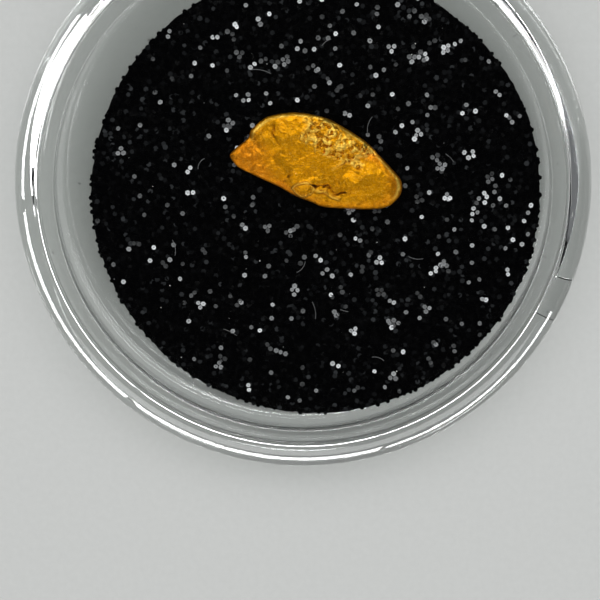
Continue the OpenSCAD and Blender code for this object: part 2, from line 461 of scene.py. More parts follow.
class Nodes:
    """Short ways to add and join shader nodes of one material."""

    def __init__(self, name):
        self.material = bpy.data.materials.new(name)
        self.material.use_nodes = True
        self.tree = self.material.node_tree
        self.tree.nodes.clear()
        self.out = self.add("ShaderNodeOutputMaterial")

    def add(self, kind, **values):
        """A node, with properties by name and inputs by their label (spaces written as _)."""
        node = self.tree.nodes.new(kind)
        for key, value in values.items():
            if hasattr(node, key):
                setattr(node, key, value)
            else:
                self.put(node.inputs[key.replace("_", " ")], value)
        return node

    def put(self, socket, value):
        """Links an output to the socket, or sets its plain value."""
        if isinstance(value, bpy.types.NodeSocket):
            self.tree.links.new(value, socket)
        else:
            socket.default_value = value

    def place(self):
        """The point's place on the piece, in metres."""
        return self.add("ShaderNodeTexCoord").outputs["Object"]

    def noise(self, scale, detail=3.0, rough=0.55, squash=None):
        """Noise over the place, of this many waves a metre."""
        where = self.place()
        if squash:
            where = self.add("ShaderNodeMapping", Vector=where, Scale=squash).outputs[0]
        node = self.add("ShaderNodeTexNoise", Vector=where, Scale=scale, Detail=detail, Roughness=rough)
        return node.outputs["Fac"]

    def span(self, value, low, high, to_low, to_high):
        """Maps a value from one range to another, held at the ends."""
        node = self.add("ShaderNodeMapRange")
        for label, x in (("Value", value), ("From Min", low), ("From Max", high),
                         ("To Min", to_low), ("To Max", to_high)):
            self.put(node.inputs[label], x)
        return node.outputs[0]

    def blend(self, factor, first, second):
        """Colour between two colours."""
        node = self.add("ShaderNodeMix", data_type="RGBA")
        self.put(node.inputs[0], factor)
        self.put(node.inputs[6], first)
        self.put(node.inputs[7], second)
        return node.outputs[2]

    def combine(self, operation, first, second, clamp=False):
        """Result of a Math node on two numbers."""
        node = self.add("ShaderNodeMath", operation=operation, use_clamp=clamp)
        self.put(node.inputs[0], first)
        self.put(node.inputs[1], second)
        return node.outputs[0]

    def attribute(self, name):
        """A number stored at the points."""
        return self.add("ShaderNodeAttribute", attribute_name=name).outputs["Fac"]

    def bump(self, height, distance, strength=1.0, normal=None):
        """A bump from a height in units of distance metres."""
        node = self.add("ShaderNodeBump", Height=height, Distance=distance, Strength=strength)
        if normal is not None:
            self.put(node.inputs["Normal"], normal)
        return node.outputs[0]

    def principled(self, **values):
        """The Principled shader, with inputs by label."""
        node = self.add("ShaderNodeBsdfPrincipled")
        for key, value in values.items():
            self.put(node.inputs[key.replace("_", " ")], value)
        return node.outputs[0]

    def finish(self, shader):
        """Sends the shader to the output and gives the material."""
        self.put(self.out.inputs["Surface"], shader)
        return self.material


def rgba(paint, strength=1.0):
    """A colour times a strength, with full alpha."""
    return (*(strength * c for c in paint), 1.0)


def moulded_plastic(s):
    """Moulded clear plastic: smooth glass with faint scuffs, which lets lamps through to the inside.

    Only rays that the camera or the plastic itself sends see the glass. A lamp's shadow ray, and a ray
    that leaves a dull or rough surface, goes straight through with a little loss."""
    n = Nodes("moulded_plastic")
    scuffs = n.span(n.noise(1300, 3), 0.7, 0.85, 0.0, 0.03)
    hairline = n.noise(2200, 2, 0.6, (1.0, 0.06, 1.0))
    glass = n.principled(Base_Color=rgba(s.tint), Roughness=scuffs, IOR=s.ior,
                         Transmission_Weight=1.0, Normal=n.bump(hairline, 0.0006 * MM, 0.5))
    through = n.add("ShaderNodeBsdfTransparent", Color=(0.9, 0.905, 0.9, 1.0)).outputs[0]
    path = n.add("ShaderNodeLightPath").outputs
    rough = n.combine("SUBTRACT", path["Is Glossy Ray"], path["Is Singular Ray"], clamp=True)
    dull = n.combine("MAXIMUM", rough, path["Is Diffuse Ray"])
    passes = n.combine("MAXIMUM", dull, path["Is Shadow Ray"])
    mix = n.add("ShaderNodeMixShader")
    for socket, value in zip(mix.inputs, (passes, glass, through)):
        n.put(socket, value)
    return n.finish(mix.outputs[0])


def cut_foam(s):
    """Closed-cell black foam: dull, with fine open cells where it was cut."""
    n = Nodes("cut_foam")
    cells = n.add("ShaderNodeTexVoronoi", Vector=n.place(), Scale=7000.0).outputs["Distance"]
    grain = n.noise(4000, 4)
    paint = n.blend(grain, rgba(s.foam_colour), rgba(s.foam_colour, 3.0))
    return n.finish(n.principled(Base_Color=paint, Roughness=n.span(grain, 0.3, 0.7, 0.75, 0.95),
                                 Normal=n.bump(cells, 0.03 * MM, 0.8)))


def black_binder(s):
    """Black binder between the flakes: nearly black and slightly shiny."""
    n = Nodes("black_binder")
    grain = n.noise(9000, 3)
    return n.finish(n.principled(Base_Color=rgba(s.flake_colour),
                                 Roughness=n.span(grain, 0.3, 0.7, 0.45, 0.8),
                                 Specular_IOR_Level=0.03, Normal=n.bump(grain, 0.03 * MM, 0.8)))


def dark_flake(s):
    """Black glitter flake: a glossy film whose black is a little worn on some flakes."""
    n = Nodes("dark_flake")
    tone = n.attribute("tone")
    paint = n.blend(tone, rgba(s.flake_colour), (0.036, 0.038, 0.041, 1.0))
    return n.finish(n.principled(Base_Color=paint, Roughness=n.span(tone, 0.0, 1.0, 0.3, 0.5),
                                 Specular_IOR_Level=0.02))


# Width of a bright flake's dished middle, as a part of the flake's
DISH_WIDTH = 0.62


def bright_flake(s):
    """Flake with a painted glint: a pale colour in place of the lamps' reflection, with a dimmer painted
    glint in its dished middle.
    """
    n = Nodes("bright_flake")
    tone = n.attribute("tone")
    ring = n.attribute("ring")
    # Painted glint, stronger on flakes of higher tone; the dished middle gets a greyer, dimmer painted glint
    lit = n.blend(tone, (0.03, 0.031, 0.033, 1.0), rgba(s.bright_colour))
    greyer = n.blend(tone, (0.018, 0.018, 0.02, 1.0), (0.40, 0.41, 0.44, 1.0))
    paint = n.blend(n.span(ring, 0.0, DISH_WIDTH, 0.0, 1.0), greyer, lit)
    rough = n.span(n.noise(6000, 3), 0.3, 0.7, 0.4, 0.6)
    return n.finish(n.principled(Base_Color=paint, Metallic=0.2, Roughness=rough))


def natural_gold(s):
    """Natural gold: warm dull metal, with a painted highlight of paler gold on the crust's crests, on ridges
    and along the upper-left rim, reddish at the tip, and painted shade in its cracks, in the crust's pits
    and towards the underside.
    """
    n = Nodes("natural_gold")
    pale, copper, painted_shade = (n.attribute(k) for k in ("pale", "copper", "painted_shade"))
    broad, grain, fine = n.noise(600, 4), n.noise(5200, 5, 0.7), n.noise(13000, 4, 0.7)
    paint = n.blend(n.span(broad, 0.38, 0.64, 0.0, 1.0), rgba(s.gold), rgba(s.gold, 0.72))
    paint = n.blend(copper, paint, rgba(s.copper_gold))
    # Painted highlight: paler gold on crust crests, ridges and the upper-left rim
    paint = n.blend(pale, paint, rgba(s.pale_gold))
    paint = n.blend(n.span(grain, 0.50, 0.68, 0.0, 0.6), paint, rgba(s.deep_gold))
    paint = n.blend(n.span(fine, 0.52, 0.66, 0.0, 0.32), paint, rgba(s.pale_gold))
    # Painted shade: darker in cracks, the crust's pits and towards the underside
    paint = n.blend(painted_shade, paint, rgba(s.soil))
    rough = n.span(grain, 0.3, 0.7, 0.34, 0.52)
    pits = n.bump(fine, 0.022 * MM, 0.7)
    return n.finish(n.principled(Base_Color=paint, Metallic=1.0, Roughness=rough,
                                 Normal=n.bump(grain, 0.05 * MM, 0.7, pits)))


def set_glue(_s):
    """Set clear glue, slightly yellow and hazy."""
    n = Nodes("set_glue")
    haze = n.span(n.noise(2500, 3), 0.3, 0.7, 0.1, 0.3)
    return n.finish(n.principled(Base_Color=(0.9, 0.88, 0.78, 1.0), Roughness=haze, IOR=1.47,
                                 Transmission_Weight=0.85))


def pale_dust(_s):
    """Dust and plastic crumbs: pale grey and dull."""
    n = Nodes("pale_dust")
    paint = n.blend(n.noise(3000, 2), (0.55, 0.56, 0.55, 1.0), (0.85, 0.86, 0.85, 1.0))
    return n.finish(n.principled(Base_Color=paint, Roughness=0.8))


def grey_lint(_s):
    """Grey fibre lint on the glitter."""
    n = Nodes("grey_lint")
    paint = n.blend(n.noise(2500, 2), (0.10, 0.10, 0.105, 1.0), (0.26, 0.26, 0.27, 1.0))
    return n.finish(n.principled(Base_Color=paint, Roughness=0.6))


def pale_floor(s):
    """Plain pale matt floor with a very fine even tooth."""
    n = Nodes("pale_floor")
    tooth = n.noise(2600, 3)
    paint = n.blend(n.span(tooth, 0.3, 0.7, 0.0, 1.0), rgba(s.floor_colour, 0.96), rgba(s.floor_colour))
    return n.finish(n.principled(Base_Color=paint, Roughness=0.9))


def wear(piece, body, slot, material, *nodes):
    """Gives a piece its material and its body, and hides the CAD nodes that it stands for; the slot is not
    used.
    """
    piece.data.materials.append(material)
    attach(piece, body)
    if nodes:
        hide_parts(*nodes)


def shared(make, settings):
    """The material that this function makes, made once."""
    found = bpy.data.materials.get(make.__name__)
    if found is None:
        found = make(settings)
        found.name = make.__name__
    return found


def settings_of(context):
    """The display capsule's settings in this scene."""
    return context.scene.display_capsule


# ------------------------------------------------------------------------- operators


class CAPSULE_OT_base(bpy.types.Operator):
    """Make the clear base with its collar"""

    bl_idname = "capsule.make_base"
    bl_label = "Base"

    def execute(self, context):
        s = settings_of(context).capsule
        profile = base_profile(s)
        azimuths = np.arange(s.sectors) * TURN / s.sectors
        rings = rim_waves(turned(profile[1:-1], azimuths), s, 5)
        piece = shell_piece("clear_base", profile, rings)
        shade(piece)
        wear(piece, "base", "clear_plastic", shared(moulded_plastic, s), "capsule_base")
        return {"FINISHED"}


class CAPSULE_OT_lid(bpy.types.Operator):
    """Make the clear lid with its window, skirt and pry notch"""

    bl_idname = "capsule.make_lid"
    bl_label = "Lid"

    def execute(self, context):
        s = settings_of(context).capsule
        foot, shoulder = float(LID_LOW[2]), float(LID_HIGH[2]) - s.rim_drop
        r_in = s.outer_radius - s.notch_depth
        profile = fine_stretch(lid_profile(s), 0.045 * MM, r_in - 0.1 * MM, foot + 0.01 * MM)
        azimuths = lid_azimuths(s)
        rings = turned(profile[1:-1], azimuths)
        r, z = profile[1:-1, 0][:, None], profile[1:-1, 1][:, None]
        outside = (r > r_in - 0.2 * MM) * np.clip((shoulder - z) / (shoulder - foot), 0, 1)
        rings[..., 2] += s.notch_height * outside * notch_mask(r, azimuths[None, :], s)
        rings = rim_waves(rings, s, 9)
        piece = shell_piece("clear_lid", profile, rings)
        shade(piece)
        wear(piece, "lid", "clear_plastic", shared(moulded_plastic, s), "capsule_lid")
        return {"FINISHED"}


def disc_middle():
    """Centre of the foam disc in plan."""
    return (FOAM_LOW[:2] + FOAM_HIGH[:2]) / 2


def disc_edge(azimuths, s):
    """Radius of the cut edge: the CAD disc's, less a wander at several scales, never more than it."""
    full = float(FOAM_HIGH[0] - FOAM_LOW[0]) / 2
    x, y = np.cos(azimuths) * full, np.sin(azimuths) * full
    slow = fractal(x, y, 5 * MM, 3, 2)
    quick = fractal(x, y, 0.5 * MM, 7, 2)
    return full - s.edge_wander * (0.25 + 1.3 * slow + 1.1 * quick)


class CAPSULE_OT_foam(bpy.types.Operator):
    """Make the punched disc of black foam"""

    bl_idname = "capsule.make_foam"
    bl_label = "Foam disc"

    def execute(self, context):
        s = settings_of(context).insert
        a = np.arange(900) * TURN / 900
        edge = disc_edge(a, s)
        z0, z1 = float(FOAM_LOW[2]), float(FOAM_HIGH[2])
        height = np.linspace(0, 1, 26)
        share = np.concatenate([np.linspace(0.04, 0.985, 14), np.ones(26), np.linspace(0.985, 0.04, 14)])
        level = np.concatenate([np.zeros(14), height, np.ones(14)])
        up, round_it = level[:, None], a[None, :] * edge.mean()
        pits = creases(round_it, up * (z1 - z0) + 9 * MM, 0.28 * MM, 21)
        wall = (share[:, None] == 1).astype(float)
        bow = 0.05 * MM * np.sin(math.pi * up) * wall
        corner = 0.06 * MM * (bell(up, 0.04) + bell(1 - up, 0.04)) * wall
        r = share[:, None] * edge[None, :] - wall * s.cell_depth * (1 - pits) - bow - corner
        cx, cy = disc_middle()
        x, y = cx + r * np.cos(a), cy + r * np.sin(a)
        dimple = 0.02 * MM * fractal(x, y, 0.4 * MM, 33) * (1 - wall)
        z = z0 + (z1 - z0) * up + np.where(up < 0.5, dimple, -dimple)
        rings = np.stack([x, y, z], -1)
        piece = ringed_piece("foam_punched_disc", rings, (cx, cy, z0), (cx, cy, z1))
        shade(piece, 50)
        wear(piece, "insert", "black_foam", shared(cut_foam, s), "foam_disc")
        return {"FINISHED"}


class CAPSULE_OT_coat(bpy.types.Operator):
    """Make the black coat that holds the glitter"""

    bl_idname = "capsule.make_coat"
    bl_label = "Glitter coat"

    def execute(self, context):
        s = settings_of(context).insert
        a = np.arange(720) * TURN / 720
        edge = disc_edge(a, s)
        z0, z1 = float(COAT_LOW[2]), float(COAT_HIGH[2])
        lower, upper = np.array([0.3, 0.98]), np.linspace(1, 0.01, 70)
        share = np.concatenate([lower, upper])[:, None]
        cx, cy = disc_middle()
        r = share * (edge - 0.02 * MM)
        x, y = cx + r * np.cos(a), cy + r * np.sin(a)
        lumps = 0.05 * MM * (fractal(x, y, 0.35 * MM, 51) - 1)
        z = np.where(np.arange(len(share))[:, None] < len(lower), z0, z1 + lumps)
        piece = ringed_piece("glitter_binder", np.stack([x, y, z], -1), (cx, cy, z0),
                             (cx, cy, z1 - 0.02 * MM))
        shade(piece, 60)
        wear(piece, "insert", "glitter_coat", shared(black_binder, s), "glitter_film")
        return {"FINISHED"}


def hexagon(width, z):
    """Six corners of a level hexagon of this width, as a part of a flake's, at this height."""
    a = np.arange(6) * TURN / 6
    return np.stack([width * (0.5 * np.cos(a)), width * (0.5 * np.sin(a)), np.full(6, z)], -1)


def band(low, high):
    """Six faces between two hexagons whose corners are numbered from low and from high."""
    j, k = np.arange(6), (np.arange(6) + 1) % 6
    return np.stack([j + low, k + low, k + high, j + high], -1)


def hexagon_flake():
    """A hexagonal plate of unit width and unit thickness: two hexagons and six sides."""
    points = np.concatenate([hexagon(1, -0.5), hexagon(1, 0.5)])
    return points, [band(0, 6), np.stack([np.arange(5, -1, -1), np.arange(6, 12)])]


def dished_flake():
    """A hexagonal plate whose upper face sinks towards the middle: outer ring, inner ring, centre."""
    points = np.concatenate([hexagon(1, -0.5), hexagon(1, 0.5), hexagon(DISH_WIDTH, 0.35), [[0, 0, -0.1]]])
    share = np.repeat((1.0, DISH_WIDTH, 0.0), (12, 6, 1))
    middle = np.c_[band(12, 12)[:, :2], np.full(6, 18)]
    walls = np.concatenate([band(0, 6), band(6, 12)])
    return points, [walls, middle, np.arange(5, -1, -1)[None]], share


def inside_edge(x, y, s, margin):
    """True where a point, from the disc's centre, keeps this margin from the cut edge."""
    return np.hypot(x, y) < disc_edge(np.arctan2(y, x), s) - margin


def lay(rng, x, y, low, spread, lean):
    """Places and turns of flakes at these points from the disc's centre.

    The height is random from low above the coat's top over a spread, the tilt is the size of a normal
    number of so many degrees, and yaw and the way of the tilt are random."""
    n = len(x)
    cx, cy = disc_middle()
    z = float(COAT_HIGH[2]) + low + spread * rng.random(n)
    tilt = np.radians(np.abs(rng.normal(0, lean, n)))
    turn = turns_of(rng.random(n) * TURN, tilt, rng.random(n) * TURN)
    return np.stack([cx + x, cy + y, z], -1), turn


class CAPSULE_OT_dark_flakes(bpy.types.Operator):
    """Make the dense layer of black flakes, each lying at its own small tilt"""

    bl_idname = "capsule.make_dark_flakes"
    bl_label = "Black flakes"

    def execute(self, context):
        s = settings_of(context).insert
        rng = np.random.default_rng(71)
        n = s.dark_flakes
        i = np.arange(n) + 0.5
        full = float(FOAM_HIGH[0] - FOAM_LOW[0]) / 2
        r, a = full * np.sqrt(i / n), i * GOLDEN_ANGLE
        x = r * np.cos(a) + rng.normal(0, 0.07 * MM, n)
        y = r * np.sin(a) + rng.normal(0, 0.07 * MM, n)
        keep = inside_edge(x, y, s, 0.0) & (np.hypot(x, y) < full - 0.14 * MM)
        x, y = x[keep], y[keep]
        n = len(x)
        places, turns = lay(rng, x, y, -0.025 * MM, 0.07 * MM, 9.0)
        width = s.flake_width * rng.uniform(0.85, 1.1, n)
        size = np.stack([width, width, np.full(n, s.flake_thickness)], -1)
        points, faces = hexagon_flake()
        piece = repeated("glitter_flakes_black", points, faces, places, turns, size)
        tone = rng.random(n) ** 22
        point_value(piece, "tone", np.repeat(tone, len(points)))
        wear(piece, "insert", "glitter_flake", shared(dark_flake, s), "glitter_flakes")
        return {"FINISHED"}


def bright_places(s, rng):
    """Places of the bright flakes from the disc's centre: most single, some in groups of two to four
    that touch, as neighbours on a triangular grid."""
    full = float(FOAM_HIGH[0] - FOAM_LOW[0]) / 2
    x, y, rank = [], [], []
    while len(x) < s.bright_flakes:
        r, a = full * math.sqrt(rng.random()), rng.random() * TURN
        # Painted glints grow more common towards the right of the disc
        more_right = 0.62 + 0.38 * r / full * math.cos(a - math.radians(25))
        if rng.random() > more_right:
            continue
        size = 1 + int(np.searchsorted((0.76, 0.92, 0.98), rng.random()))
        level, way = rng.random(), rng.random() * TURN
        px, py = r * math.cos(a), r * math.sin(a)
        for k in range(size):
            step = s.flake_width * rng.uniform(0.85, 1.1) * (k > 0)
            x.append(px + step * math.cos(way + k * math.pi / 3))
            y.append(py + step * math.sin(way + k * math.pi / 3))
            # rank: how strong the group's painted glint is
            rank.append(np.clip(level + rng.normal(0, 0.15), 0, 1))
    x, y, rank = np.array(x), np.array(y), np.array(rank)
    keep = inside_edge(x, y, s, 0.25 * MM)
    return x[keep], y[keep], rank[keep]


class CAPSULE_OT_bright_flakes(bpy.types.Operator):
    """Make the scattered flakes that carry painted glints"""

    bl_idname = "capsule.make_bright_flakes"
    bl_label = "Bright flakes"

    def execute(self, context):
        s = settings_of(context).insert
        rng = np.random.default_rng(17)
        x, y, rank = bright_places(s, rng)
        n = len(x)
        places, turns = lay(rng, x, y, 0.055 * MM, 0.02 * MM, 6.0)
        width = s.flake_width * rng.uniform(0.88, 1.08, n)
        size = np.stack([width, width * rng.uniform(0.85, 1, n), np.full(n, 2 * s.flake_thickness)], -1)
        points, faces, share = dished_flake()
        piece = repeated("glitter_flakes_bright", points, faces, places, turns, size)
        # tone: how strong each flake's painted glint is
        point_value(piece, "tone", np.repeat(rank**2.1, len(points)))
        point_value(piece, "ring", np.tile(share, n))
        wear(piece, "insert", "glitter_flake", shared(bright_flake, s), "glitter_flakes")
        return {"FINISHED"}


# Outline of the nugget in millimetres from its middle, anticlockwise from the blunt end
NUGGET_OUTLINE = (
    (4.65, -1.25), (4.4, -0.7), (3.3, 0.5), (2.6, 1.2), (1.2, 2.1), (0.2, 2.55), (-1.3, 2.8),
    (-2.7, 2.6), (-3.3, 2.25), (-3.75, 1.8), (-3.9, 1.4), (-4.65, 0.75), (-4.9, 0.4), (-4.7, 0),
    (-4.2, -0.4), (-2.3, -1.3), (-1.3, -1.85), (-0.4, -2.2), (0.5, -2.5), (2.8, -2.6),
    (3.7, -2.5), (4.2, -2.2), (4.55, -1.75),
)
# Broad hills and hollows: x, y, spread, height
NUGGET_HILLS = (
    (0.9, 1.1, 1.1, 0.10), (-2.2, 1.4, 0.9, 0.06), (2.7, -0.9, 0.9, 0.20), (-0.7, -1.3, 0.5, 0.08),
    (2.1, 0, 0.6, -0.13), (0.7, -1.5, 0.5, -0.12), (-2.6, 0.2, 0.8, -0.08), (-1.2, 0.2, 0.8, -0.04),
)
# Paths on the nugget's face: cracks, ridges, valleys and the rim of the small loop
MAIN_CRACK = ((-0.36, -1.16), (-0.12, -1.28), (0.12, -1.25), (0.3, -1.3), (0.46, -1.22), (0.62, -1.44),
              (0.85, -1.6), (1.1, -1.7), (1.3, -1.6), (1.5, -1.62))
LOOP_RIM = ((-0.22, -1.36), (-0.52, -1.06), (-0.98, -1.1), (-1.42, -1.3), (-1.4, -1.52), (-0.95, -1.86),
            (-0.62, -1.8), (-0.35, -1.6))
UPPER_CRACK = ((-2.5, 2.1), (-2.46, 1.9), (-2.58, 1.72), (-2.45, 1.45), (-2.3, 1.2), (-1.95, 0.75))
LEFT_CRACK = ((-1.7, -0.7), (-1.88, -1.0))
CRUST_RIDGE = ((2.5, 0.95), (2.2, 0.55), (1.9, 0.28), (1.4, 0.1), (0.8, -0.3))
VALLEY = ((3.1, 0.75), (2.5, 0.3), (1.9, -0.3), (1.1, -0.9))
CRACK_LIP = ((-0.3, -1.42), (0.0, -1.5), (0.35, -1.58), (0.7, -1.82), (1.1, -1.98))
# The slanting oval patch of crust, and the slant of it and of the folds
CRUST_MIDDLE = (1.0, 1.15)
CRUST_SIZE = (2.15, 0.95)
SLANT_COS, SLANT_SIN = 0.87, 0.5
SHELF = ((-3.8, 1.35), (-2.9, 0.6), (-2.1, -0.1), (-1.7, -0.9))


def nugget_relief(x, y):
    """Height in mm of the face over the plain dome, and how crusty, cracked and ridged it is there.

    Hills are bells about points. The crust is crossing creases and pits inside a slanting oval patch.
    Ridges and cracks are bells of the distance to their paths, which noise bends. Fine noise covers
    everything."""
    bend = 0.16 * (fractal(x, y, 0.45, 91) - 0.5)
    sway = 0.16 * (fractal(x, y, 0.45, 95) - 0.5)
    u, v = x + bend, y + sway
    hills = sum(h * bell(np.hypot(x - cx, y - cy), w) for cx, cy, w, h in NUGGET_HILLS)
    dx, dy = x - CRUST_MIDDLE[0], y - CRUST_MIDDLE[1]
    along, across = SLANT_COS * dx - SLANT_SIN * dy, SLANT_SIN * dx + SLANT_COS * dy
    oval = np.hypot(along / CRUST_SIZE[0], across / CRUST_SIZE[1])
    crust = smooth_step((1.1 + 1.1 * (fractal(x, y, 0.7, 99) - 0.5) - oval) / 0.3)
    coarse = creases(u + bend, v + sway, 0.42, 103, 2)
    grit = fractal(u, v, 0.2, 107, 2)
    pits = smooth_step((fractal(u, v, 0.17, 131, 2) - 0.54) / 0.2)
    crumple = crust * (0.07 * coarse + 0.09 * (grit - 0.5) - 0.08 * pits)
    uneven = np.clip(2.4 * fractal(x, y, 0.22, 135, 2) - 0.55, 0.1, 1)
    crack = np.maximum.reduce([
        bell(distance_to_path(u, v, MAIN_CRACK), 0.03 + 0.04 * uneven) * np.clip(1.35 * uneven, 0, 1),
        0.6 * uneven * bell(distance_to_path(u, v, UPPER_CRACK), 0.045),
        0.7 * uneven * bell(distance_to_path(u, v, LEFT_CRACK), 0.06),
    ])
    loop = closed_curve(LOOP_RIM, 32).tolist()
    ridge = np.maximum.reduce([
        bell(distance_to_path(u, v, loop + loop[:1]), 0.06),
        0.9 * bell(distance_to_path(u, v, CRUST_RIDGE), 0.08),
        0.6 * bell(distance_to_path(u, v, CRACK_LIP), 0.09),
    ]) * (0.3 + 0.7 * uneven)
    in_loop = bell(np.hypot(x + 0.82, (y + 1.5) * 1.6), 0.42)
    lip = bell(distance_to_path(u, v, CRACK_LIP), 0.16)
    folds = fractal(SLANT_SIN * x - SLANT_COS * y, 0.3 * (SLANT_COS * x + SLANT_SIN * y), 0.42, 141, 2) - 0.5
    height = (hills + crumple - 0.16 * crack + 0.10 * ridge - 0.06 * in_loop + 0.09 * lip
              - 0.09 * bell(distance_to_path(u, v, VALLEY), 0.26)
              - 0.05 * bell(distance_to_path(u, v, SHELF), 0.22)
              + 0.20 * (fractal(x, y, 1.3, 111) - 0.5) + 0.09 * folds
              + 0.06 * (fractal(u, v, 0.36, 115, 3) - 0.5)
              + 0.03 * (fractal(x, y, 0.13, 119, 2) - 0.5))
    # The crust network and the ridges carry the painted highlight; the cracks and the crust's pits carry the
    # painted shade
    network = np.clip(0.2 + 0.75 * coarse + 1.8 * (grit - 0.5) - 0.9 * pits, 0, 1)
    return height, crust * network, np.maximum(crack, 0.4 * crust * pits), ridge


class CAPSULE_OT_nugget(bpy.types.Operator):
    """Make the natural gold nugget with its folds, crust, crack and reddish tip"""

    bl_idname = "capsule.make_nugget"
    bl_label = "Nugget"

    def execute(self, context):
        s = settings_of(context).nugget
        sectors, face_rings, under_rings = 560, 118, 22
        outline = closed_curve(NUGGET_OUTLINE, sectors)
        ragged = 1 + 0.012 * (fractal(outline[:, 0], outline[:, 1], 0.35, 61) - 0.6)
        outline = outline * ragged[:, None]
        face = np.sin(np.linspace(0, 1, face_rings + 1)[1:] * math.pi / 2)
        under = np.sin(np.linspace(0.45, 1, under_rings + 1)[:-1] * math.pi / 2)
        share = np.concatenate([under, face[::-1]])[:, None]
        upper = (np.arange(len(share)) >= under_rings)[:, None]
        x, y = share * outline[:, 0], share * outline[:, 1]
        dome = np.sqrt(np.maximum(1 - share**4, 0))
        tall = float(NUGGET_HIGH[2] - NUGGET_LOW[2]) / MM
        girdle = tall * s.girdle
        height, crust, crack, ridge = nugget_relief(x, y)
        wander = 0.10 * (fractal(outline[:, 0], outline[:, 1], 1.3, 65) - 0.5)
        top = girdle + wander + (tall - 0.1 - girdle - wander) * dome
        top = top + s.relief * height * np.minimum(1.0, 1.5 * dome)
        flat = np.sqrt(1 - under[0] ** 4)
        low = (girdle + wander) * (1 - np.minimum(1.0, dome / flat))
        low = low + 0.02 * (fractal(x, y, 0.3, 69) - 0.5) * (low > 0.05)
        z = np.clip(np.where(upper, top, low), 0, tall)
        middle = (NUGGET_LOW[:2] + NUGGET_HIGH[:2]) / 2
        span = closed_curve(NUGGET_OUTLINE, 3 * len(NUGGET_OUTLINE))
        middle = middle - (span.min(0) + span.max(0)) / 2 * MM
        rings = np.stack([middle[0] + x * MM, middle[1] + y * MM, NUGGET_LOW[2] + z * MM], -1)
        piece = ringed_piece("natural_gold_nugget", rings, (*middle, NUGGET_LOW[2]),
                             rings[-1].mean(0))
        shade(piece, 80)
        uneven = fractal(x, y, 0.5, 151)
        # Painted highlight along the upper-left rim of the nugget
        rim_highlight = bell(share - 0.955, 0.018) * smooth_step((y + 0.45 * x + 0.6) / 0.8) * 1.5 * uneven
        tip = (smooth_step((-1.5 - x - 0.6 * y) / 2.2) + 0.8 * bell(np.hypot(x - 2.85, y - 0.5), 0.45)
               + 0.7 * smooth_step((share - 0.75) / 0.2) * (y < 0.3 * x - 0.3) + 0.5 * (uneven - 0.5))
        # Painted highlight: paler gold on the crust network, the ridges and the upper-left rim
        pale = np.clip(0.95 * crust + 0.65 * ridge + 0.9 * rim_highlight, 0, 1) * upper
        # Painted shade: darker in cracks and the crust's pits, and on the underside below 0.22 mm
        painted_shade = np.clip(0.95 * crack + 0.9 * (1 - smooth_step(z / 0.22)), 0, 1)
        for name, grid in (("pale", pale), ("copper", np.clip(0.8 * tip, 0, 1)), ("painted_shade", painted_shade)):
            point_value(piece, name, np.concatenate([grid.ravel(), [grid[0].mean(), grid[-1].mean()]]))
        wear(piece, "insert", "native_gold", shared(natural_gold, s), "gold_nugget")
        return {"FINISHED"}


class CAPSULE_OT_glue(bpy.types.Operator):
    """Make the clear dot of glue under the nugget"""

    bl_idname = "capsule.make_glue"
    bl_label = "Glue dot"

    def execute(self, context):
        s = settings_of(context).insert
        cx, cy = (GLUE_LOW[:2] + GLUE_HIGH[:2]) / 2
        z0, z1 = float(GLUE_LOW[2]), float(GLUE_HIGH[2])
        full = float(GLUE_HIGH[0] - GLUE_LOW[0]) / 2
        a = np.arange(160) * TURN / 160
        edge = full * (1 - 0.12 * fractal(np.cos(a), np.sin(a), 0.5, 81))
        bulge = np.linspace(-1, 1, 15)
        share = np.concatenate([np.linspace(0.1, 0.85, 6), 0.88 + 0.12 * np.sqrt(1 - bulge**2),
                                np.linspace(0.85, 0.1, 6)])[:, None]
        level = np.concatenate([np.zeros(6), (bulge + 1) / 2, np.ones(6)])[:, None]
        r = share * edge
        z = z0 + (z1 - z0) * level
        rings = np.stack(np.broadcast_arrays(cx + r * np.cos(a), cy + r * np.sin(a), z), -1)
        piece = ringed_piece("clear_glue_dot", rings, (cx, cy, z0), (cx, cy, z1))
        shade(piece, 60)
        wear(piece, "insert", "clear_glue", shared(set_glue, s), "glue_dot")
        return {"FINISHED"}


def crumb():
    """A rounded lump of unit size: two rings of seven and two poles."""
    a = np.arange(7) * TURN / 7
    rings = [np.stack([0.5 * c * np.cos(a + t), 0.5 * c * np.sin(a + t), np.full(7, z)], -1)
             for c, z, t in ((0.8, -0.28, 0.0), (1.0, 0.08, 0.4), (0.6, 0.36, 0.1))]
    points = np.concatenate([*rings, [[0, 0, -0.5], [0, 0, 0.5]]])
    return points, outward(points, ring_faces(3, 7))


def rim_height(r, s):
    """Height of the lid's outside at a radius: the flat window, then the rounded rim."""
    top = float(LID_HIGH[2])
    over = np.clip(r - (s.outer_radius - s.rim_radius), 0, s.rim_radius)
    return np.minimum(top, top - s.rim_drop + np.sqrt(np.maximum(s.rim_radius**2 - over**2, 0)))


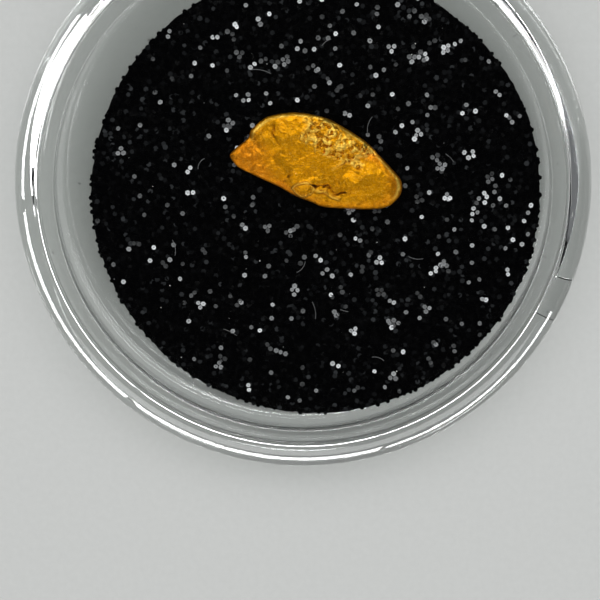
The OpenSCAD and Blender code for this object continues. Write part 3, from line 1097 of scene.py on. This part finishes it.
class CAPSULE_OT_dust(bpy.types.Operator):
    """Scatter dust and plastic crumbs on the lid, most of it near the rim"""

    bl_idname = "capsule.make_dust"
    bl_label = "Dust"

    def execute(self, context):
        s = settings_of(context).capsule
        rng = np.random.default_rng(29)
        n = 90
        near_rim = rng.random(n) < 0.6
        r = np.where(near_rim, rng.normal(14.7 * MM, 0.45 * MM, n), 13.6 * MM * np.sqrt(rng.random(n)))
        r = np.clip(r, 0, s.outer_radius - 0.35 * MM)
        a = rng.random(n) * TURN
        size = MM * (0.018 + 0.05 * rng.random(n) ** 3)
        places = np.stack([r * np.cos(a), r * np.sin(a), rim_height(r, s) + 0.2 * size], -1)
        points, faces = crumb()
        turn = turns_of(rng.random(n) * TURN, 0.4 * rng.random(n), rng.random(n) * TURN)
        sizes = np.stack([size * rng.uniform(0.7, 1.6, n), size, 0.6 * size], -1)
        piece = repeated("lid_dust", points, faces, places, turn, sizes)
        shade(piece, 80)
        wear(piece, "lid", "clear_plastic", shared(pale_dust, s))
        return {"FINISHED"}


# Lint on the glitter: start from the disc's centre in mm, heading in degrees, length in mm, bend in degrees
DISC_LINT = (
    (-0.2, -5.9, -60, 1.1, -35), (1.4, -6.4, -20, 0.5, 10), (-1.1, -4.3, 20, 0.9, 60),
    (2.9, 3.6, 100, 1.0, -50), (-6.1, 2.2, 200, 0.8, 70), (5.2, -3.3, 330, 0.9, 40),
    (-3.6, 7.1, 10, 1.2, -40), (7.7, 2.0, 120, 0.7, 30), (-7.9, -3.4, 75, 1.0, 45),
    (3.2, -9.2, 15, 0.8, -60), (-4.4, -8.0, 140, 0.9, 25), (0.9, 8.8, 190, 0.7, 50),
)


class CAPSULE_OT_lint(bpy.types.Operator):
    """Lay the few short grey fibres that cling to the glitter"""

    bl_idname = "capsule.make_lint"
    bl_label = "Lint"

    def execute(self, context):
        s = settings_of(context).insert
        rings, sides, radius = 14, 6, 0.014 * MM
        cx, cy = disc_middle()
        t = np.linspace(0, 1, rings)
        points, groups = [], []
        for k, (x, y, heading, length, bend) in enumerate(DISC_LINT):
            way = np.radians(heading + bend * t)
            step = length * MM / rings
            path = np.stack([cx + x * MM + np.cumsum(np.cos(way)) * step,
                             cy + y * MM + np.cumsum(np.sin(way)) * step,
                             COAT_HIGH[2] + 0.085 * MM + 0.03 * MM * np.sin(math.pi * t)], -1)
            tube = tube_points(path, radius, sides)
            fibre = np.concatenate([tube.reshape(-1, 3), [path[0], path[-1]]])
            faces = outward(fibre - fibre.mean(0), ring_faces(rings, sides))
            groups += [f + k * len(fibre) for f in faces]
            points.append(fibre)
        piece = new_piece("disc_lint", np.concatenate(points), groups)
        shade(piece, 80)
        wear(piece, "insert", "glitter_flake", shared(grey_lint, s))
        return {"FINISHED"}


# Softboxes: name, direction (compass and zenith degrees), size in metres, brightness, and whether
# only the clear shells see it. They all stand LAMP_DISTANCE metres away.
LAMP_DISTANCE = 0.4
SOFTBOXES = (
    ("north_box", (90, 32), (0.60, 0.20), 4.2, False),
    ("south_box", (270, 50), (0.60, 0.18), 2.6, False),
    ("north_east_panel", (38, 30), (0.30, 0.16), 12, True),
    ("north_panel", (92, 30), (0.34, 0.16), 12, True),
    ("north_west_panel", (146, 28), (0.30, 0.16), 12, True),
    ("south_east_panel", (305, 84), (0.30, 0.07), 16, True),
    ("south_panel", (260, 81), (0.34, 0.12), 14, True),
    ("south_west_panel", (214, 82), (0.30, 0.11), 14, True),
    ("west_panel", (170, 82), (0.30, 0.10), 14, True),
)


def softbox(name, way, size, brightness, receivers):
    """A rectangular lamp that faces the object, long side level, seen only by the receivers if given."""
    lamp = bpy.data.lights.new(name, "AREA")
    lamp.shape = "RECTANGLE"
    lamp.size, lamp.size_y = size
    lamp.energy = 4 * brightness * size[0] * size[1]
    holder = bpy.data.objects.new(name, lamp)
    bpy.context.scene.collection.objects.link(holder)
    compass, zenith = (math.radians(v) for v in way)
    out = Vector((math.sin(zenith) * math.cos(compass), math.sin(zenith) * math.sin(compass),
                  math.cos(zenith)))
    holder.location = out * LAMP_DISTANCE
    holder.rotation_euler = out.to_track_quat("Z", "Y").to_euler()
    if receivers is not None:
        holder.light_linking.receiver_collection = receivers
    return holder


# Glow of the sky at two heights, where 0 is the horizon and 1 is straight above
SKY_STOPS = ((0.25, (0.16, 0.165, 0.17)), (0.8, (0.004, 0.004, 0.004)))


def soft_sky():
    """World light: dim overhead, so that the flat window stays clear, and pale near the horizon."""
    world = bpy.data.worlds.new("studio")
    world.use_nodes = True
    tree = world.node_tree
    sky = tree.nodes["Background"]
    place = tree.nodes.new("ShaderNodeTexCoord")
    split = tree.nodes.new("ShaderNodeSeparateXYZ")
    ramp = tree.nodes.new("ShaderNodeValToRGB")
    tree.links.new(place.outputs["Generated"], split.inputs[0])
    tree.links.new(split.outputs[2], ramp.inputs[0])
    tree.links.new(ramp.outputs[0], sky.inputs["Color"])
    for stop, (height, glow) in zip(ramp.color_ramp.elements, SKY_STOPS):
        stop.position, stop.color = height, rgba(glow)
    sky.inputs["Strength"].default_value = 1.0
    bpy.context.scene.world = world


class CAPSULE_OT_stage(bpy.types.Operator):
    """Make the floor, the soft lights and the camera"""

    bl_idname = "capsule.make_stage"
    bl_label = "Stage"

    def execute(self, context):
        s = settings_of(context).stage
        scene = context.scene
        half, drop = 2.0, 0.02 * MM
        corners = np.array([[-half, -half, -drop], [half, -half, -drop],
                            [half, half, -drop], [-half, half, -drop]])
        floor = new_piece("floor", corners, [np.array([[0, 1, 2, 3]])])
        floor.data.materials.append(shared(pale_floor, s))
        soft_sky()
        shells = bpy.data.collections.new("clear_shells")
        for name in ("clear_base", "clear_lid"):
            shells.objects.link(bpy.data.objects[name])
        for name, way, size, brightness, shells_only in SOFTBOXES:
            softbox(name, way, size, brightness, shells if shells_only else None)
        camera = bpy.data.objects.new("camera", bpy.data.cameras.new("camera"))
        scene.collection.objects.link(camera)
        camera.location = s.camera_place
        back = (Vector(s.camera_place) - Vector(s.camera_aim)).normalized()
        right = Vector((0, 1, 0)).cross(back).normalized()
        camera.rotation_euler = Matrix((right, back.cross(right), back)).transposed().to_euler()
        camera.data.lens = s.lens
        camera.data.sensor_width = 36
        camera.data.clip_start = 0.005
        camera.data.dof.use_dof = False
        scene.camera = camera
        scene.view_settings.view_transform = "Standard"
        return {"FINISHED"}


class CAPSULE_PT_panel(bpy.types.Panel):
    """Lists the operators that build the display capsule"""

    bl_idname = "CAPSULE_PT_panel"
    bl_label = "Display capsule"
    bl_space_type = "VIEW_3D"
    bl_region_type = "UI"
    bl_category = "Capsule"

    def draw(self, context):
        for operator in OPERATORS:
            self.layout.operator(operator.bl_idname)


SETTINGS = (CapsuleSettings, InsertSettings, NuggetSettings, StageSettings, DisplayCapsuleSettings)
OPERATORS = (CAPSULE_OT_base, CAPSULE_OT_lid, CAPSULE_OT_foam, CAPSULE_OT_coat, CAPSULE_OT_dark_flakes,
             CAPSULE_OT_bright_flakes, CAPSULE_OT_glue, CAPSULE_OT_nugget, CAPSULE_OT_dust,
             CAPSULE_OT_lint, CAPSULE_OT_stage)


def register():
    """Registers the settings, the operators and the panel."""
    for cls in (*SETTINGS, *OPERATORS, CAPSULE_PT_panel):
        bpy.utils.register_class(cls)
    bpy.types.Scene.display_capsule = PointerProperty(type=DisplayCapsuleSettings)


def unregister():
    """Removes them again, last first."""
    del bpy.types.Scene.display_capsule
    for cls in reversed((*SETTINGS, *OPERATORS, CAPSULE_PT_panel)):
        bpy.utils.unregister_class(cls)


def main():
    """Builds everything in order."""
    register()
    bpy.ops.capsule.make_base()
    bpy.ops.capsule.make_lid()
    bpy.ops.capsule.make_foam()
    bpy.ops.capsule.make_coat()
    bpy.ops.capsule.make_dark_flakes()
    bpy.ops.capsule.make_bright_flakes()
    bpy.ops.capsule.make_glue()
    bpy.ops.capsule.make_nugget()
    bpy.ops.capsule.make_dust()
    bpy.ops.capsule.make_lint()
    bpy.ops.capsule.make_stage()
    bpy.context.view_layer.update()


if __name__ == "__main__":
    main()
